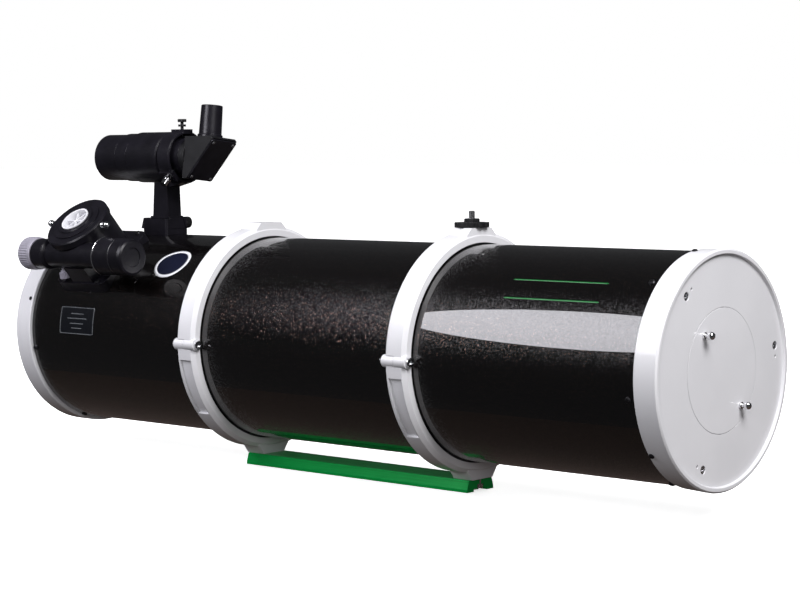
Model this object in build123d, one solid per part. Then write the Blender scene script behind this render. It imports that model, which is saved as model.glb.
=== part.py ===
"""Optical tube of a closed-front reflecting telescope, in its two hinged rings on a dovetail bar.

Units are millimetres.  +Z is up and X runs along the tube, with the sky end at -X and the
mirror end at +X.  The origin is the centre of the dovetail bar's underside.
"""
from build123d import *
from math import cos, pi, radians, sin, sqrt
import os

# ---- driving dimensions -------------------------------------------------------------------
# main tube
TUBE_R = 114.5
TUBE_WALL = 1.0
TUBE_INNER_R = TUBE_R - TUBE_WALL
AXIS_Z = 147.0
TUBE_FRONT_X = -452.0
TUBE_REAR_X = 439.0

# white end castings
FRONT_FACE_X = -458.8
FRONT_RING_R = 119.0
FRONT_RING_BACK_X = -432.9
REAR_FACE_X = 465.3
REAR_CELL_R = 117.8
REAR_LIP_WIDTH = 6.0
REAR_RECESS = 3.0
REAR_PLATE = 6.0

# rings and bar
RING_SPACING = 308.5
RING_WIDTH = 28.0
RING_INNER_R = 116.1
RING_OUTER_R = 127.2
RING_CHAMFER = 4.0
FELT_INNER_R = 114.8
SPLIT_GAP = 0.5
HINGE_Y = -122.5
HINGE_R = 6.75
HINGE_PIN_R = 3.0
HINGE_HALF_LENGTH = 15.5
BOSS_HALF_WIDTH = 16.5
BOSS_FLANK_HALF_WIDTH = 23.5
BOSS_TOP_R = 131.5
FLANK_R = 124.5
BAR_LENGTH = 328.0
BAR_HEIGHT = 13.0
BAR_TOP_WIDTH = 38.0
BAR_BOTTOM_WIDTH = 44.0
CLAMP_Y = 141.5
CLAMP_SHANK_R = 3.9
STUD_R = 3.175
STUD_SHANK_R = 3.0

# focuser
FOCUSER_X = -349.0
FOCUSER_TILT = 40.5
BASE_TOP = 118.0
BODY_R = 38.0
BODY_TOP = 165.0
FLANGE_R = 40.0
FLANGE_BOTTOM = 165.5
FLANGE_TOP = 174.5
COLLAR_R = 22.5
COLLAR_TOP = 178.0
DRAWTUBE_R = 28.2
DRAWTUBE_BORE_R = 25.4
SHAFT_Y = -31.0
SHAFT_Z = 150.0
SHAFT_R = 3.0
HOUSING_R = 15.0
EYEPIECE_BORE_R = 15.9
CAP_R = 17.4

# finder
FINDER_Z = 353.5
FINDER_FRONT_X = -416.0
FINDER_BARREL_R = 30.3
DEW_R = 27.8
LOCK_RING_R = 28.9
FINDER_NECK_R = 23.0
BRACKET_RING_X = -288.0
BRACKET_RING_R = 31.0
BRACKET_BORE_R = 27.8
EYEPIECE_X = -243.3

# fits
RUN = 0.05
LOOSE = 0.4

# places used by several pieces
ON_AXIS = Pos(0, 0, AXIS_Z) * Rot(0, 90, 0)
FOCUSER = Pos(FOCUSER_X, 0, AXIS_Z) * Rot(FOCUSER_TILT, 0, 0)
ON_FINDER = Pos(0, 0, FINDER_Z) * Rot(0, 90, 0)
FRONT_RING_X = -RING_SPACING / 2
REAR_RING_X = RING_SPACING / 2


# ---- shape helpers ------------------------------------------------------------------------
def lathe(corners):
    """Solid of revolution about Z through (radius, height) corners."""
    return revolve(Plane.XZ * make_face(Polyline(*corners, close=True)), Axis.Z)


def rod(radius, low, high):
    return Pos(0, 0, (low + high) / 2) * Cylinder(radius, high - low)


def ring(outer, inner, low, high):
    return rod(outer, low, high) - rod(inner, low - 1, high + 1)


def block(low, high):
    """Box between two opposite corners."""
    size = [abs(b - a) for a, b in zip(low, high)]
    middle = [(a + b) / 2 for a, b in zip(low, high)]
    return Pos(*middle) * Box(*size)


def prism(points, plane, low, high):
    """Polygon drawn on a plane, extruded from low to high along its normal."""
    face = plane * make_face(Polyline(*points, close=True))
    return Pos(*(plane.z_dir * low)) * extrude(face, amount=high - low)


def knurled(radius, depth, teeth, low, high):
    """Grip whose rim has straight V grooves."""
    points = []
    for index in range(2 * teeth):
        reach = radius if index % 2 == 0 else radius - depth
        angle = pi * index / teeth
        points.append((reach * cos(angle), reach * sin(angle)))
    grip = prism(points, Plane.XY, low, high)
    edge = lathe([(0, low), (radius - depth, low), (radius, low + depth),
                  (radius, high - depth), (radius - depth, high), (0, high)])
    return grip & edge


def lobed(radius, lobes, notch_r, low, high):
    """Hand wheel with round finger notches."""
    wheel = rod(radius, low, high)
    for index in range(lobes):
        wheel -= Rot(0, 0, 360 * index / lobes) * Pos(radius + notch_r * 0.55, 0, 0) * rod(
            notch_r, low - 1, high + 1)
    return wheel


def socket_screw(head_r, head_height, shank_r, shank_length):
    """Cap screw on Z with its head's underside at 0 and a hexagon socket."""
    screw = rod(head_r, 0, head_height) + rod(shank_r, -shank_length, 0.1)
    socket = extrude(RegularPolygon(head_r * 0.5, 6), amount=head_height * 0.6)
    return screw - Pos(0, 0, head_height * 0.45) * socket


def ball_screw(shank_r, shank_length, ball_r, neck):
    """Thumbscrew on Z with a round head, a collar at 0 and its shank below."""
    screw = rod(shank_r, -shank_length, neck + ball_r)
    screw += rod(shank_r + 1.3, 0, 1.6)
    return screw + Pos(0, 0, neck + ball_r) * Sphere(ball_r)


def around(count, start=0.0):
    return [Rot(0, 0, start + 360 * index / count) for index in range(count)]


# ---- dovetail bar -------------------------------------------------------------------------
BAR_LIP = 3.0
GROOVE_NEAR = 4.5
GROOVE_FAR = 11.0
GROOVE_DEPTH = 3.0
BOLT_OFFSET = 7.0
BOLT_R = 3.0
BOLT_HEAD_R = 5.0
BOLT_SEAT = 7.5
STOP_OFFSET = 9.0
STOP_HEAD_R = 3.6
STOP_SEAT = 3.1


def ring_bolt_places():
    return [(x + side * BOLT_OFFSET, 0) for x in (FRONT_RING_X, REAR_RING_X) for side in (-1, 1)]


def dovetail_bar():
    half_top = BAR_TOP_WIDTH / 2
    half_bottom = BAR_BOTTOM_WIDTH / 2
    right = [(GROOVE_NEAR, 0), (GROOVE_NEAR, GROOVE_DEPTH), (GROOVE_FAR, GROOVE_DEPTH), (GROOVE_FAR, 0),
             (half_bottom, 0), (half_bottom, BAR_LIP), (half_top, BAR_HEIGHT)]
    left = [(-y, z) for y, z in reversed(right)]
    bar = prism(right + left, Plane.YZ, -BAR_LENGTH / 2, BAR_LENGTH / 2)
    for x, y in ring_bolt_places():
        bar -= Pos(x, y, 0) * (rod(BOLT_R + RUN, -1, BAR_HEIGHT + 1) + rod(BOLT_HEAD_R + 0.6, -1, BOLT_SEAT))
    for side in (-1, 1):
        stop_hole = rod(2.0 + RUN, -1, BAR_HEIGHT - 2) + rod(STOP_HEAD_R + 0.5, -1, STOP_SEAT)
        bar -= Pos(side * (BAR_LENGTH / 2 - STOP_OFFSET), 0, 0) * stop_hole
    return bar


# ---- tube rings ---------------------------------------------------------------------------
LUG_HALF_WIDTH = 11.0
LUG_HEIGHT = 12.0
LUG_REACH = 152.5
POCKET_DEPTH = 3.0
POCKET_WIDTH = 17.0
POCKET_SHIFT = 0.5
POCKET_ANGLES = (8, 18, 29, 39)


def ring_band():
    """Full ring around Z at the origin, with chamfered outer edges."""
    half = RING_WIDTH / 2
    side = RING_OUTER_R - RING_CHAMFER
    return lathe([(RING_INNER_R, -half), (side, -half), (RING_OUTER_R, -half + RING_CHAMFER),
                  (RING_OUTER_R, half - RING_CHAMFER), (side, half), (RING_INNER_R, half)])


def mounting_boss(direction, reach):
    """Flat boss with sloped flanks, on top (+1) or underneath (-1)."""
    points = [(-BOSS_FLANK_HALF_WIDTH - 3, 112), (-BOSS_FLANK_HALF_WIDTH, FLANK_R),
              (-BOSS_HALF_WIDTH, reach), (BOSS_HALF_WIDTH, reach),
              (BOSS_FLANK_HALF_WIDTH, FLANK_R), (BOSS_FLANK_HALF_WIDTH + 3, 112)]
    points = [(y, direction * z) for y, z in points]
    if direction < 0:
        points.reverse()
    return prism(points, Plane.YZ, -RING_WIDTH / 2 + 1, RING_WIDTH / 2 - 1)


def knuckle(low, high, radius=HINGE_R):
    return Pos(0, HINGE_Y, 0) * Rot(0, 90, 0) * rod(radius, low, high)


def ring_half(upper):
    """One half of a tube ring, centred on the tube's axis at X = 0."""
    sign = 1 if upper else -1
    half = Rot(0, 90, 0) * ring_band()
    half += mounting_boss(sign, BOSS_TOP_R if upper else AXIS_Z - BAR_HEIGHT)
    lug = block((-LUG_HALF_WIDTH, 118, 0), (LUG_HALF_WIDTH, LUG_REACH, sign * LUG_HEIGHT))
    half += fillet(lug.edges().filter_by(Axis.Z).group_by(Axis.Y)[-1], 8)
    keep = block((-40, -170, sign * SPLIT_GAP / 2), (40, 170, sign * 170))
    half = half & keep
    own = (0.15, HINGE_HALF_LENGTH) if upper else (-HINGE_HALF_LENGTH, -0.15)
    other = (-HINGE_HALF_LENGTH - 1, 0.15) if upper else (-0.15, HINGE_HALF_LENGTH + 1)
    half -= knuckle(*other, HINGE_R + LOOSE)
    half += knuckle(*own)
    half -= knuckle(-30, 30, HINGE_PIN_R + RUN)
    half -= Rot(0, 90, 0) * rod(RING_INNER_R, -40, 40)
    shank_hole = CLAMP_SHANK_R + (RUN if upper else 0.9)
    half -= Pos(0, CLAMP_Y, 0) * rod(shank_hole, -30, 30)
    if upper:
        half -= rod(STUD_SHANK_R + RUN, BOSS_TOP_R - 12, BOSS_TOP_R + 1)
    else:
        half -= outer_pocket()
        for side in (-1, 1):
            half -= Pos(side * BOLT_OFFSET, 0, 0) * rod(BOLT_R + RUN, -140, -RING_INNER_R)
    return half


def outer_pocket():
    """Long shallow pocket in the outer face below the hinge."""
    half = POCKET_WIDTH / 2
    band = Rot(0, 90, 0) * ring(RING_OUTER_R + 5, RING_OUTER_R - POCKET_DEPTH, -half, half)
    edges = [(-150 * cos(radians(angle)), -150 * sin(radians(angle))) for angle in POCKET_ANGLES]
    return Pos(POCKET_SHIFT, 0, 0) * (band & prism([(0, 0)] + edges, Plane.YZ, -half, half))


def felt(start, end):
    """Thin liner between two angles, measured from +Y towards +Z."""
    band = ring(RING_INNER_R - 0.02, FELT_INNER_R, -RING_WIDTH / 2 + 2, RING_WIDTH / 2 - 2)
    reach = 150
    angles = [radians(start + (end - start) * step / 4) for step in range(5)]
    fan = [(0, 0)] + [(reach * cos(angle), reach * sin(angle)) for angle in angles]
    sector = prism(fan, Plane.YZ, -20, 20)
    return (Rot(0, 90, 0) * band) & sector


def hinge_pin():
    """Hexagon-socket bolt through the hinge, with a domed nut on its front end."""
    bolt = Rot(0, 90, 0) * Pos(0, 0, HINGE_HALF_LENGTH + 0.3) * socket_screw(4.8, 3.4, HINGE_PIN_R, 36)
    nut = Pos(-HINGE_HALF_LENGTH - 0.3, 0, 0) * Rot(0, -90, 0) * extrude(RegularPolygon(4.2, 6), amount=3)
    return Pos(0, HINGE_Y, 0) * (bolt + nut)


def ring_clamp_screw():
    """Captive hand screw that draws the two halves together."""
    knob = lobed(12.0, 6, 5.0, LUG_HEIGHT + 1.0, LUG_HEIGHT + 15)
    screw = knob + rod(CLAMP_SHANK_R, -10, LUG_HEIGHT + 2) + rod(7, LUG_HEIGHT + 0.3, LUG_HEIGHT + 2)
    return Pos(0, CLAMP_Y, 0) * screw


def at_ring(x, shape):
    return Pos(x, 0, AXIS_Z) * shape


def ring_fasteners():
    pieces = [at_ring(x, hinge_pin()) for x in (FRONT_RING_X, REAR_RING_X)]
    for x, y in ring_bolt_places():
        pieces.append(Pos(x, y, BOLT_SEAT) * Rot(180, 0, 0) * socket_screw(BOLT_HEAD_R, 4.5, BOLT_R, 15))
    for side in (-1, 1):
        stop = socket_screw(STOP_HEAD_R, 2.6, 2.0, 7.0)
        place = Pos(side * (BAR_LENGTH / 2 - STOP_OFFSET), 0, STOP_SEAT)
        pieces.append(place * Rot(180, 0, 0) * stop)
    return Compound(children=pieces)


WHEEL_BOTTOM = BOSS_TOP_R + 0.4
WHEEL_TOP = WHEEL_BOTTOM + 9.2
STUD_START = WHEEL_TOP + 0.5
STUD_END = 148.3


def camera_stud():
    """Stud in the boss, with a thinner shank through the lock wheel."""
    shank = rod(STUD_SHANK_R, BOSS_TOP_R - 12, STUD_START)
    tip = lathe([(0, STUD_START), (STUD_R, STUD_START), (STUD_R, STUD_END), (STUD_R - 0.9, STUD_END + 0.9),
                 (0, STUD_END + 0.9)])
    return shank + tip


def camera_lock_wheel():
    wheel = lobed(18.5, 10, 4.0, WHEEL_BOTTOM, WHEEL_BOTTOM + 5.2)
    wheel += knurled(8.2, 0.7, 18, WHEEL_BOTTOM + 5.0, WHEEL_TOP)
    return wheel - rod(STUD_SHANK_R + RUN, 100, 160)


# ---- tube and end castings ----------------------------------------------------------------
END_SCREW_R = 2.0
REAR_SCREW_X = 431.0
FRONT_SCREW_X = -429.0
REAR_SCREW_ANGLES = [190 + 60 * index for index in range(6)]
FRONT_SCREW_ANGLES = [190 + 60 * index for index in range(6)]
FRONT_SEAM_X = -437.5
FRONT_SEAM_ANGLES = (161, 281, 41)
REAR_SEAM_X = 442.5
REAR_SEAM_R = 117.0
REAR_SEAM_ANGLES = (219, 339, 99)
SEAM_SCREW_R = 1.5


def radial(x, angle, shape):
    """Put a piece drawn along Z on the tube's axis, pointing out at an angle from +Y to +Z."""
    return Pos(x, 0, AXIS_Z) * Rot(angle - 90, 0, 0) * shape


def main_tube():
    tube = ON_AXIS * ring(TUBE_R, TUBE_INNER_R, TUBE_FRONT_X, TUBE_REAR_X)
    tube -= FOCUSER * rod(34.0, 90, 130)
    hole = rod(END_SCREW_R + RUN, TUBE_INNER_R - 5, TUBE_R + 5)
    for angle in REAR_SCREW_ANGLES:
        tube -= radial(REAR_SCREW_X, angle, hole)
    for angle in FRONT_SCREW_ANGLES:
        tube -= radial(FRONT_SCREW_X, angle, hole)
    return tube


def front_end_ring():
    lip_r = 104.0
    corners = [(lip_r, FRONT_FACE_X), (FRONT_RING_R - 1.5, FRONT_FACE_X),
               (FRONT_RING_R, FRONT_FACE_X + 1.5),
               (FRONT_RING_R, FRONT_RING_BACK_X - 1), (FRONT_RING_R - 1, FRONT_RING_BACK_X),
               (TUBE_R + 0.05, FRONT_RING_BACK_X), (TUBE_R + 0.05, TUBE_FRONT_X - 0.1),
               (lip_r, TUBE_FRONT_X - 0.1)]
    casting = ON_AXIS * lathe(corners)
    for angle in FRONT_SEAM_ANGLES:
        casting -= radial(FRONT_SEAM_X, angle, rod(SEAM_SCREW_R + RUN, 110, 125))
    return casting


COLLIMATION_R = 98.0
COLLIMATION_ANGLES = (130, 250, 10)
GRUB_STEP = -6.4
COVER_R = 61.0
COVER_SCREW_R = 49.0
COVER_SCREW_ANGLES = (132, 312)
COVER_OPENING_R = 42.0
COVER_THICKNESS = 2.8
PLATE_BACK_X = REAR_FACE_X - REAR_RECESS
PLATE_FRONT_X = PLATE_BACK_X - REAR_PLATE
COVER_SEAT_X = PLATE_BACK_X - COVER_THICKNESS


def rear_point(radius, angle):
    """Y and Z of a point on the rear face, from its radius and its angle from +Y to +Z."""
    return radius * cos(radians(angle)), AXIS_Z + radius * sin(radians(angle))


def rear_cell():
    spigot = TUBE_INNER_R - 0.1
    corners = [(109, 424), (spigot, 424), (spigot, TUBE_REAR_X), (REAR_CELL_R - 1.3, TUBE_REAR_X),
               (REAR_CELL_R, REAR_FACE_X - 1.6), (REAR_CELL_R - 1.6, REAR_FACE_X),
               (REAR_CELL_R - REAR_LIP_WIDTH + 1, REAR_FACE_X), (REAR_CELL_R - REAR_LIP_WIDTH, PLATE_BACK_X),
               (COVER_R + 0.3, PLATE_BACK_X), (COVER_R + 0.3, COVER_SEAT_X),
               (COVER_OPENING_R, COVER_SEAT_X), (COVER_OPENING_R, PLATE_FRONT_X), (109, PLATE_FRONT_X)]
    cell = ON_AXIS * lathe(corners)
    for angle in COLLIMATION_ANGLES:
        y, z = rear_point(COLLIMATION_R, angle)
        cell -= Pos(0, y, z) * Rot(0, 90, 0) * (rod(4.2, PLATE_BACK_X - 4.2, PLATE_BACK_X + 1)
                                               + rod(2.5 + RUN, 440, PLATE_BACK_X))
        y, z = rear_point(COLLIMATION_R, angle + GRUB_STEP)
        cell -= Pos(0, y, z) * Rot(0, 90, 0) * rod(1.5 + RUN, 440, PLATE_BACK_X + 1)
    for angle in COVER_SCREW_ANGLES:
        y, z = rear_point(COVER_SCREW_R, angle)
        cell -= Pos(0, y, z) * Rot(0, 90, 0) * rod(2.0 + RUN, 440, PLATE_BACK_X)
    for angle in REAR_SCREW_ANGLES:
        cell -= radial(REAR_SCREW_X, angle, rod(END_SCREW_R + RUN, 100, 115))
    for angle in REAR_SEAM_ANGLES:
        cell -= radial(REAR_SEAM_X, angle, rod(SEAM_SCREW_R + RUN, 112, 120))
    return cell


def rear_cover():
    cover = ON_AXIS * rod(COVER_R, COVER_SEAT_X + 0.02, PLATE_BACK_X + 0.1)
    for angle in COVER_SCREW_ANGLES:
        y, z = rear_point(COVER_SCREW_R, angle)
        cover -= Pos(0, y, z) * Rot(0, 90, 0) * rod(2.0 + RUN, 440, REAR_FACE_X)
    return cover


def rear_cover_screw(angle):
    y, z = rear_point(COVER_SCREW_R, angle)
    return Pos(PLATE_BACK_X + 0.3, y, z) * Rot(0, 90, 0) * ball_screw(2.0, 6.0, 4.2, 3.5)


def collimation_screw(angle):
    y, z = rear_point(COLLIMATION_R, angle)
    return Pos(PLATE_BACK_X - 4.0, y, z) * Rot(0, 90, 0) * socket_screw(3.9, 3.4, 2.5, 41)


def dome_head(radius, height):
    """Pan head with a cross recess."""
    head = lathe([(0, 0), (radius, 0), (radius, height * 0.35), (radius * 0.75, height * 0.8),
                  (radius * 0.35, height), (0, height)])
    slot = Box(radius * 1.1, radius * 0.28, height)
    return head - Pos(0, 0, height) * (slot + Rot(0, 0, 90) * slot)


def pan_screw(head_r, head_height, shank_r, shank_length):
    return dome_head(head_r, head_height) + rod(shank_r, -shank_length, 0.1)


BASE_HALF_X = 42.0
BASE_HALF_Y = 46.0
BASE_SCREWS = [(29.5 * i, 41.8 * j) for i in (-1, 1) for j in (-1, 1)]


def tube_screws():
    """Small screws: round both tube ends, on the focuser's base, and the mirror's lock screws."""
    end_screw = Pos(0, 0, TUBE_R + 0.1) * pan_screw(3.4, 2.0, END_SCREW_R, 6)
    pieces = [radial(REAR_SCREW_X, angle, end_screw) for angle in REAR_SCREW_ANGLES]
    pieces += [radial(FRONT_SCREW_X, angle, end_screw) for angle in FRONT_SCREW_ANGLES]
    front_seam_screw = Pos(0, 0, FRONT_RING_R + 0.05) * pan_screw(2.4, 0.9, SEAM_SCREW_R, 3.4)
    pieces += [radial(FRONT_SEAM_X, angle, front_seam_screw) for angle in FRONT_SEAM_ANGLES]
    rear_seam_screw = Pos(0, 0, REAR_SEAM_R) * pan_screw(2.9, 1.8, SEAM_SCREW_R, 3.4)
    pieces += [radial(REAR_SEAM_X, angle, rear_seam_screw) for angle in REAR_SEAM_ANGLES]
    for x, y in BASE_SCREWS:
        pieces.append(FOCUSER * Pos(x, y, BASE_TOP + 0.05) * pan_screw(3.6, 2.4, 2.0, 6))
    for angle in COLLIMATION_ANGLES:
        y, z = rear_point(COLLIMATION_R, angle + GRUB_STEP)
        pieces.append(Pos(0, y, z) * Rot(0, 90, 0) * rod(1.5, 434, PLATE_BACK_X - 1.5))
    return Compound(children=pieces)


# ---- corrector and mirrors ----------------------------------------------------------------
LENS_R = 101.0
LENS_FRONT_EDGE_X = -445.0
LENS_BACK_EDGE_X = -431.0
LENS_FRONT_CURVE = 330.0
LENS_BACK_CURVE = 337.0
STEM_R = 11.9


def corrector_cell():
    outer = TUBE_INNER_R - 0.1
    cell = ON_AXIS * lathe([(95, LENS_BACK_EDGE_X + 2.0), (95, -425), (outer, -425), (outer, -451.8),
                            (105, -451.8), (105, LENS_FRONT_EDGE_X), (LENS_R + 0.2, LENS_FRONT_EDGE_X),
                            (LENS_R + 0.2, LENS_BACK_EDGE_X + 0.1)])
    for angle in FRONT_SCREW_ANGLES:
        cell -= radial(FRONT_SCREW_X, angle, rod(END_SCREW_R + RUN, 106, 115))
    return cell


def corrector_retaining_ring():
    retainer = ON_AXIS * ring(104.9, 96.0, -451.5, LENS_FRONT_EDGE_X - 0.05)
    for place in around(4, 45):
        retainer -= ON_AXIS * place * block((95, -2.5, -453), (106, 2.5, -449.5))
    return retainer


def corrector_lens():
    """Deep meniscus, hollow towards the sky, bored for the secondary mirror's stem."""
    def face_x(edge_x, curve, radius):
        return edge_x - sqrt(curve ** 2 - LENS_R ** 2) + sqrt(curve ** 2 - radius ** 2)
    bore = STEM_R + 0.1
    middle = (bore + LENS_R) / 2

    def arc(edge_x, curve):
        points = [(radius, face_x(edge_x, curve, radius)) for radius in (bore, middle, LENS_R)]
        return ThreePointArc(*points), points
    front, front_points = arc(LENS_FRONT_EDGE_X, LENS_FRONT_CURVE)
    back, back_points = arc(LENS_BACK_EDGE_X, LENS_BACK_CURVE)
    rim = Line(front_points[2], back_points[2])
    wall = Line(back_points[0], front_points[0])
    outline = make_face(Curve() + [front, rim, back, wall])
    return ON_AXIS * revolve(Plane.XZ * outline, Axis.Z)


SECONDARY_R = 25.0
SECONDARY_GLASS = 6.0
BEHIND_LENS_X = -415.1


def beyond_diagonal(offset):
    """Everything on the light side of the diagonal plane, in the focuser's frame."""
    return Rot(0, 45, 0) * Pos(0, 0, offset + 100) * Box(300, 300, 200)


def secondary_round(radius, low, high):
    """Round bar along the tube's axis, in the focuser's frame."""
    return Rot(0, 90, 0) * rod(radius, low - FOCUSER_X, high - FOCUSER_X)


def secondary_mirror():
    bar = secondary_round(SECONDARY_R, BEHIND_LENS_X, -300)
    return FOCUSER * ((bar - beyond_diagonal(0)) & beyond_diagonal(-SECONDARY_GLASS))


def secondary_holder():
    """Diagonal mirror's mount: a slanted body behind the lens and a cap with three screws."""
    body = secondary_round(SECONDARY_R, BEHIND_LENS_X, -300) - beyond_diagonal(-SECONDARY_GLASS - 0.05)
    body = FOCUSER * body + ON_AXIS * rod(STEM_R, -432, BEHIND_LENS_X + 1)
    cap = lathe([(0, -441), (19, -441), (21, -439), (21, -430.6), (0, -430.6)])
    body += ON_AXIS * cap
    pieces = []
    for place in around(3, 30):
        spot = ON_AXIS * place * Pos(12, 0, 0)
        body -= spot * rod(3.1, -442, -437)
        pieces.append(spot * Pos(0, 0, -438.4) * Rot(180, 0, 0) * socket_screw(2.8, 2.4, 1.5, 1.4))
    return Compound(children=[body] + pieces)


MIRROR_R = 98.0
MIRROR_FRONT_X = 388.0
MIRROR_BACK_X = 414.0
MIRROR_CURVE = 2000.0


def primary_mirror():
    sag = MIRROR_CURVE - sqrt(MIRROR_CURVE ** 2 - MIRROR_R ** 2)
    hollow = ThreePointArc((0, MIRROR_FRONT_X + sag), (MIRROR_R / 2, MIRROR_FRONT_X + sag * 0.75),
                           (MIRROR_R, MIRROR_FRONT_X))
    rest = Polyline((MIRROR_R, MIRROR_FRONT_X), (MIRROR_R, MIRROR_BACK_X), (0, MIRROR_BACK_X),
                    (0, MIRROR_FRONT_X + sag))
    return ON_AXIS * revolve(Plane.XZ * make_face(Curve() + [hollow, rest]), Axis.Z)


def mirror_cell():
    """Support plate behind the main mirror, with three clips over the mirror's edge."""
    cell = ON_AXIS * (rod(103.0, MIRROR_BACK_X + 0.05, MIRROR_BACK_X + 10))
    for angle in COLLIMATION_ANGLES:
        y, z = rear_point(COLLIMATION_R, angle)
        cell -= Pos(0, y, z) * Rot(0, 90, 0) * rod(2.5 + RUN, 410, 430)
    cell -= ON_AXIS * rod(38, 400, 440)
    for place in around(3, 70):
        post = block((MIRROR_R + 0.3, -9, MIRROR_FRONT_X - 3), (MIRROR_R + 4.5, 9, MIRROR_BACK_X + 1))
        lip = block((MIRROR_R - 5, -9, MIRROR_FRONT_X - 3), (MIRROR_R + 4.5, 9, MIRROR_FRONT_X - 0.6))
        cell += ON_AXIS * place * (post + lip)
    return cell


# ---- focuser ------------------------------------------------------------------------------
LOCK_X = -20.0
LOCK_ANGLE = 29.0
HOLDER_SCREW_Z = 170.0


def shaft_line(shape):
    """Put a piece drawn along Z on the focusing shaft's axis, Z becoming X."""
    return FOCUSER * Pos(0, SHAFT_Y, SHAFT_Z) * Rot(0, 90, 0) * shape


def focuser_base():
    base = block((-BASE_HALF_X, -BASE_HALF_Y, 95), (BASE_HALF_X, BASE_HALF_Y, BASE_TOP))
    base = fillet(base.edges().filter_by(Axis.Z), 9)
    base -= Rot(0, 90, 0) * rod(TUBE_R + 0.05, -80, 80)
    base -= rod(34, 90, 130)
    for x, y in BASE_SCREWS:
        base -= Pos(x, y, 0) * rod(2.0 + RUN, 90, 130)
    return FOCUSER * base


def bearing_places():
    return [Rot(0, 0, angle) * Pos(DRAWTUBE_R + 3.06, 0, height) for angle in (55, 125)
            for height in (128, 155)]


def drawtube_bearings():
    race = Rot(90, 0, 0) * ring(3.0, 1.2, -1.5, 1.5)
    return Compound(children=[FOCUSER * place * race for place in bearing_places()])


def focuser_body():
    body = rod(BODY_R, BASE_TOP + 0.02, BODY_TOP)
    housing = Pos(0, SHAFT_Y, SHAFT_Z) * Rot(0, 90, 0) * lathe(
        [(0, -34), (HOUSING_R - 1.5, -34), (HOUSING_R, -32.5), (HOUSING_R, 50), (HOUSING_R - 4, 56), (0, 56)])
    housing -= block((-80, -80, BODY_TOP), (80, 0, 200))
    web = block((-12, -44, BASE_TOP + 0.02), (24, -20, 140))
    body += housing + web
    body -= rod(DRAWTUBE_R + 0.4, 100, 200)
    body -= Pos(0, SHAFT_Y, SHAFT_Z) * Rot(0, 90, 0) * rod(SHAFT_R + RUN, -60, 80)
    for place in bearing_places():
        body -= place * Box(7.2, 4.4, 8.2)
    lock = Pos(LOCK_X, SHAFT_Y, SHAFT_Z) * Rot(180 - LOCK_ANGLE, 0, 0) * rod(2.0 + RUN, 0, 40)
    return FOCUSER * (body - lock)


def focuser_lock_screw():
    screw = knurled(6.0, 0.6, 20, 21, 29) + rod(4, 19, 21.5) + rod(2.0, 4, 22)
    return FOCUSER * Pos(LOCK_X, SHAFT_Y, SHAFT_Z) * Rot(180 - LOCK_ANGLE, 0, 0) * screw


def drawtube():
    tube = ring(DRAWTUBE_R, DRAWTUBE_BORE_R, 97, FLANGE_BOTTOM)
    flat = block((-30, -40, 90), (30, SHAFT_Y + SHAFT_R + 0.2, FLANGE_BOTTOM + 1))
    return FOCUSER * (tube - flat)


def eyepiece_holder():
    holder = lathe([(DRAWTUBE_BORE_R, FLANGE_BOTTOM), (FLANGE_R, FLANGE_BOTTOM), (FLANGE_R, FLANGE_TOP - 1.5),
                    (FLANGE_R - 1.5, FLANGE_TOP), (DRAWTUBE_BORE_R, FLANGE_TOP)])
    for angle in (0, 180):
        holder -= Rot(0, 0, angle) * Pos(0, 0, HOLDER_SCREW_Z) * Rot(0, 90, 0) * rod(2.0 + RUN, 20, 50)
    return FOCUSER * holder


def holder_screw(angle):
    """Ball-headed screw that holds the adapter, pointing out of the holder's rim."""
    screw = Pos(0, 0, FLANGE_R + 0.3) * ball_screw(2.0, 14.2, 4.2, 4.5)
    return FOCUSER * Rot(0, 0, angle) * Pos(0, 0, HOLDER_SCREW_Z) * Rot(0, 90, 0) * screw


def eyepiece_adapter():
    top = COLLAR_TOP
    corners = [(EYEPIECE_BORE_R, 146), (DRAWTUBE_BORE_R - RUN, 146),
               (DRAWTUBE_BORE_R - RUN, FLANGE_TOP + 0.05), (30, FLANGE_TOP + 0.05),
               (30, FLANGE_TOP + 1.2), (COLLAR_R, FLANGE_TOP + 1.6),
               (COLLAR_R, top - 0.8), (COLLAR_R - 0.8, top), (CAP_R + 0.3, top), (CAP_R + 0.3, top - 2),
               (EYEPIECE_BORE_R, top - 2)]
    return FOCUSER * lathe(corners)


def focuser_dust_cap():
    """Cup-shaped plug with a raised rim and two crossing ribs."""
    top = COLLAR_TOP + 1.0
    cup = lathe([(0, 166), (15.6, 166), (15.6, top - 2.9), (CAP_R, top - 2.9), (CAP_R, top),
                 (CAP_R - 1.9, top), (15.0, top - 2.2), (14.2, 168), (0, 168)])
    for angle in (0, 60, 120):
        cup += Rot(0, 0, angle) * block((-14.5, -0.7, 167.5), (14.5, 0.7, top - 3))
    return FOCUSER * cup


def coarse_shaft():
    return shaft_line(rod(SHAFT_R, -44.5, 72))


def coarse_knobs():
    left = lathe([(2.05, -56.8), (16.8, -56.8), (17.8, -55.8), (17.8, -38), (16.8, -37), (12, -34.4),
                  (SHAFT_R, -34.4), (SHAFT_R, -44.5), (2.05, -44.5)])
    right = lathe([(SHAFT_R, 56.6), (12, 56.6), (20.2, 58), (21.8, 58), (21.8, 59.6), (21.3, 60),
                   (21.3, 85), (20.6, 85.5), (20.6, 86.3), (21.1, 86.8), (21.1, 101), (20.3, 105),
                   (18, 106.2), (11, 106.2), (10.5, 105), (0, 105), (0, 72), (SHAFT_R, 72)])
    return Compound(children=[shaft_line(left), shaft_line(right)])


def fine_knob():
    knob = knurled(19.5, 0.6, 40, -76.5, -60.5)
    knob += lathe([(0, -61.5), (18.4, -61.5), (19.0, -60.6), (19.0, -58), (18.2, -57.2), (0, -57.2)])
    knob -= rod(13, -78, -75.7)
    return shaft_line(knob + rod(2.0, -60, -46))


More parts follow.
